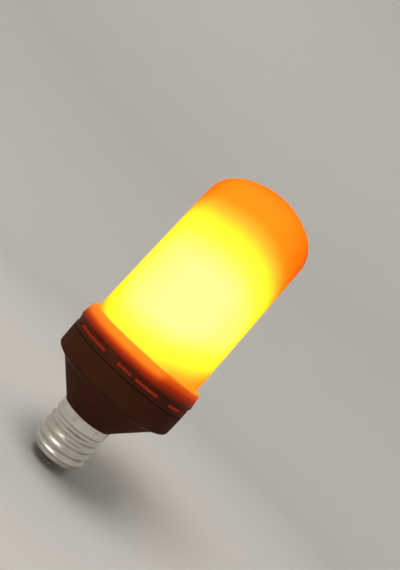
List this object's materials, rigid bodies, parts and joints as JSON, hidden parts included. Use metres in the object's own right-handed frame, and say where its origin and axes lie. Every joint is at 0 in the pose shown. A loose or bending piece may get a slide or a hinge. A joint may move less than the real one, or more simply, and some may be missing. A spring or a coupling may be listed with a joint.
{
  "type": "flame effect led bulb",
  "caption": "Lit flame effect LED bulb: frosted tube with a domed end, vented ring, conical housing and standard screw cap.",
  "frame": {"origin": "centre of the flat end of the cap's centre contact", "axes": "+Z along the lamp's axis from the cap to the dome; -Y towards the picture's camera; +X is the picture's lower right"},
  "size_m": [0.0654, 0.0654, 0.1578],
  "materials": {
    "tinned_brass": "satin",
    "black_insulator": "gloss",
    "nickel_plate": "bright nickel plate",
    "housing_plastic": "semi-gloss moulded",
    "translucent_collar_plastic": "semi-gloss, glowing at its top",
    "frosted_diffuser": "frosted, lit from inside",
    "inner_white_plastic": "matte moulded",
    "white_flex_board": "solder mask",
    "circuit_board": "solder mask",
    "chip_black": "matte",
    "zinc_steel": "zinc plate",
    "capacitor_sleeve": "shrink sleeve",
    "ferrite": "matte",
    "film_capacitor_red": "dipped",
    "resistor_body": "dipped",
    "red_insulation": "satin",
    "black_insulation": "satin",
    "white_insulation": "satin"
  },
  "bodies": {
    "root": {"centre_contact": "tinned_brass", "cap_insulator": "black_insulator", "screw_shell": "nickel_plate", "lower_housing": "housing_plastic", "vent_collar": "translucent_collar_plastic", "diffuser": "frosted_diffuser", "base_plate": "inner_white_plastic", "plate_screw_1": "zinc_steel", "plate_screw_2": "zinc_steel", "plate_screw_3": "zinc_steel", "led_core_tube": "inner_white_plastic", "core_top_cap": "inner_white_plastic", "led_matrix_board": "white_flex_board", "controller_board": "circuit_board", "pattern_chip": "chip_black", "tilt_sensor": "zinc_steel", "led_connector": "inner_white_plastic", "driver_board": "circuit_board", "bulk_capacitor": "capacitor_sleeve", "output_capacitor": "capacitor_sleeve", "film_capacitor": "film_capacitor_red", "power_inductor": "ferrite", "bridge_rectifier": "chip_black", "driver_chip": "chip_black", "fusible_resistor": "resistor_body", "live_wire": "red_insulation", "neutral_wire": "white_insulation", "positive_lead": "red_insulation", "negative_lead": "black_insulation"}
  },
  "joints": []
}
